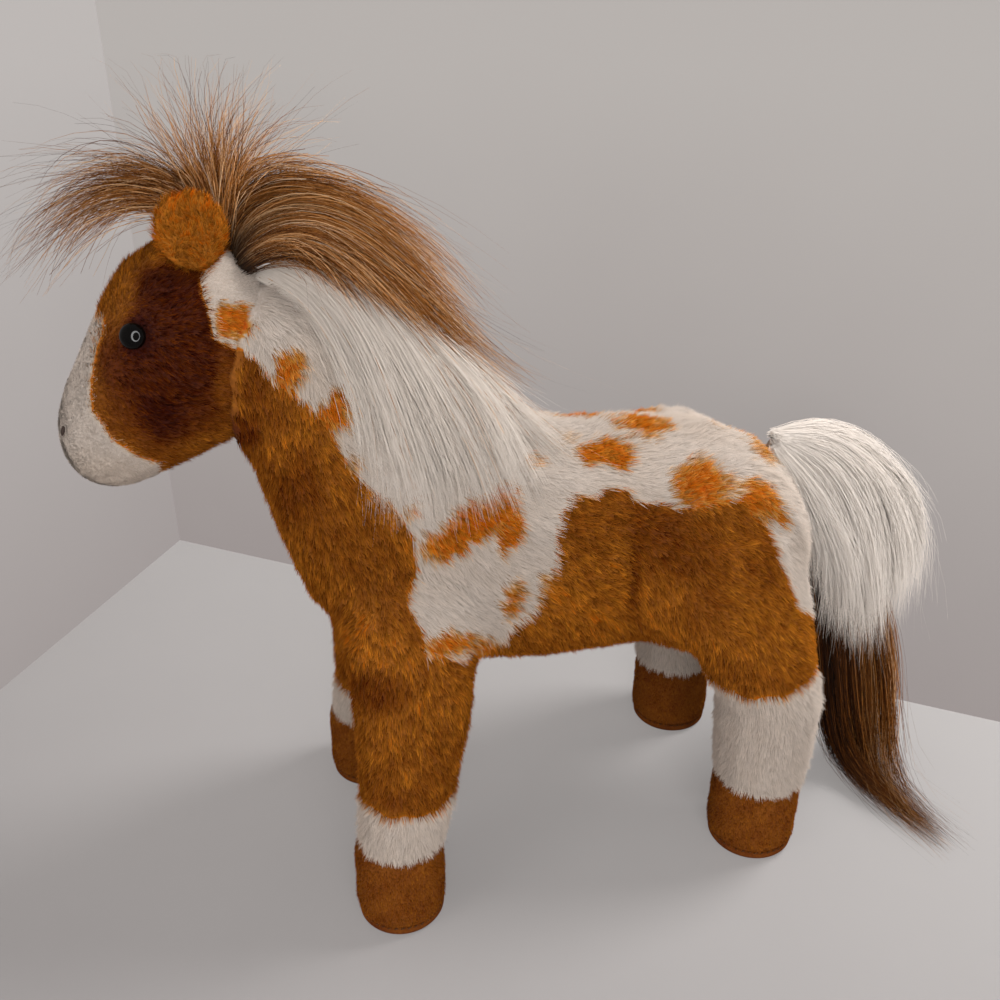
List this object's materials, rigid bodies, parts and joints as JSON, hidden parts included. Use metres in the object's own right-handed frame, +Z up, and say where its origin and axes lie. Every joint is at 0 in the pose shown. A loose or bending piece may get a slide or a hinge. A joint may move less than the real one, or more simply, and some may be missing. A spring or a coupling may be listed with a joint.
{
  "type": "plush horse",
  "caption": "Stuffed plush horse standing on velour hooves, with a spotted cream back, a brown forelock, a white mane and a long tail",
  "frame": {"origin": "on the floor under the middle of the horse's bounding box", "axes": "+X to the horse's left, -Y the way the horse faces, +Z up"},
  "size_m": [0.1828, 0.4386, 0.3804],
  "materials": {
    "golden_plush": "short plush pile",
    "dark_plush": "short plush pile, darkened with an airbrush",
    "ear_plush": "short plush pile",
    "cream_plush": "short plush pile",
    "hoof_velour": "velour",
    "sole_velour": "velour",
    "stuffing": "polyester fibre filling",
    "eye_plastic": "polished",
    "washer_plastic": "moulded",
    "brown_hair": "long straight pile",
    "white_hair": "long straight pile"
  },
  "bodies": {
    "body": {"body_stuffing": "stuffing", "neck_stuffing": "stuffing", "belly_gusset": "golden_plush", "left_cream_panel": "cream_plush", "right_cream_panel": "cream_plush", "left_neck_panel": "golden_plush", "right_neck_panel": "golden_plush", "left_flank_panel": "golden_plush", "right_flank_panel": "golden_plush", "mane_tuft": "brown_hair", "white_mane": "white_hair"},
    "head": {"head_stuffing": "stuffing", "muzzle": "cream_plush", "forehead_gusset": "golden_plush", "left_head_panel": "dark_plush", "right_head_panel": "dark_plush", "left_eye": "eye_plastic", "right_eye": "eye_plastic", "left_eye_washer": "washer_plastic", "right_eye_washer": "washer_plastic", "forelock": "brown_hair"},
    "left_ear": {"left_ear": "ear_plush", "left_ear_lining": "ear_plush"},
    "right_ear": {"right_ear": "ear_plush", "right_ear_lining": "ear_plush"},
    "front_left_leg": {"front_left_leg_skin": "golden_plush", "front_left_sock": "cream_plush", "front_left_hoof": "hoof_velour", "front_left_sole": "sole_velour", "front_left_leg_stuffing": "stuffing"},
    "front_right_leg": {"front_right_leg_skin": "golden_plush", "front_right_sock": "cream_plush", "front_right_hoof": "hoof_velour", "front_right_sole": "sole_velour", "front_right_leg_stuffing": "stuffing"},
    "hind_left_leg": {"hind_left_leg_skin": "golden_plush", "hind_left_sock": "cream_plush", "hind_left_hoof": "hoof_velour", "hind_left_sole": "sole_velour", "hind_left_leg_stuffing": "stuffing"},
    "hind_right_leg": {"hind_right_leg_skin": "golden_plush", "hind_right_sock": "cream_plush", "hind_right_hoof": "hoof_velour", "hind_right_sole": "sole_velour", "hind_right_leg_stuffing": "stuffing"},
    "tail_root": {"tail_dock": "white_hair"},
    "tail": {"tail_white": "white_hair", "tail_brown": "brown_hair"}
  },
  "joints": [
    {"name": "head_nod", "type": "hinge", "parent": "body", "child": "head", "pos_m": [-0.00688, -0.15504, 0.28727], "axis": [1, 0, 0], "range_deg": [-10, 8], "stiffness_Nm_per_rad": 1.2},
    {"name": "left_ear_flex", "type": "hinge", "parent": "head", "child": "left_ear", "pos_m": [0.01512, -0.14524, 0.32664], "axis": [0, 1, 0], "range_deg": [-25, 25], "stiffness_Nm_per_rad": 0.02},
    {"name": "right_ear_flex", "type": "hinge", "parent": "head", "child": "right_ear", "pos_m": [-0.02888, -0.14524, 0.32664], "axis": [0, 1, 0], "range_deg": [-25, 25], "stiffness_Nm_per_rad": 0.02},
    {"name": "front_left_leg_swing", "type": "hinge", "parent": "body", "child": "front_left_leg", "pos_m": [0.03712, -0.06936, 0.15351], "axis": [1, 0, 0], "range_deg": [-12, 6], "stiffness_Nm_per_rad": 2},
    {"name": "front_right_leg_swing", "type": "hinge", "parent": "body", "child": "front_right_leg", "pos_m": [-0.05088, -0.06936, 0.15351], "axis": [1, 0, 0], "range_deg": [-12, 6], "stiffness_Nm_per_rad": 2},
    {"name": "hind_left_leg_swing", "type": "hinge", "parent": "body", "child": "hind_left_leg", "pos_m": [0.03712, 0.08351, 0.16993], "axis": [1, 0, 0], "range_deg": [-12, 6], "stiffness_Nm_per_rad": 2},
    {"name": "hind_right_leg_swing", "type": "hinge", "parent": "body", "child": "hind_right_leg", "pos_m": [-0.05088, 0.08351, 0.16993], "axis": [1, 0, 0], "range_deg": [-12, 6], "stiffness_Nm_per_rad": 2},
    {"name": "tail_lift", "type": "hinge", "parent": "body", "child": "tail_root", "pos_m": [-0.00688, 0.13845, 0.20658], "axis": [1, 0, 0], "range_deg": [0, 35], "stiffness_Nm_per_rad": 0.3},
    {"name": "tail_sway", "type": "hinge", "parent": "tail_root", "child": "tail", "pos_m": [-0.00688, 0.13845, 0.20658], "axis": [0, 0, 1], "range_deg": [-15, 15], "stiffness_Nm_per_rad": 0.15}
  ]
}
